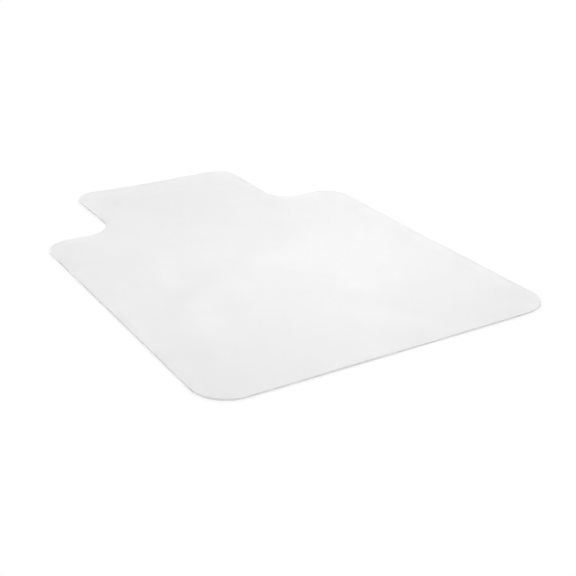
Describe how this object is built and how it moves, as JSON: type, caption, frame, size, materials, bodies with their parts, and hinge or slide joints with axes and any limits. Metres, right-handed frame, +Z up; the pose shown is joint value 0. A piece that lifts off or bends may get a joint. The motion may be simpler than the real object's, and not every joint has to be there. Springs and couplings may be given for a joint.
{
  "type": "chair mat",
  "caption": "Flat translucent mat with rounded corners and a narrower lip that reaches under a desk, laminated from an embossed wear layer, a stiff core and a grip backing.",
  "frame": {"origin": "on the floor, at the centre of the mat's bounding box", "axes": "+Z up, +Y along the mat from the sitter's edge to the end of the lip, +X to the sitter's right"},
  "size_m": [0.9144, 1.2192, 0.0048],
  "materials": {
    "embossed_film": "satin",
    "milky_core": "satin",
    "grip_film": "matte"
  },
  "bodies": {
    "root": {"wear_layer": "embossed_film", "core_sheet": "milky_core", "grip_backing": "grip_film"}
  },
  "joints": []
}
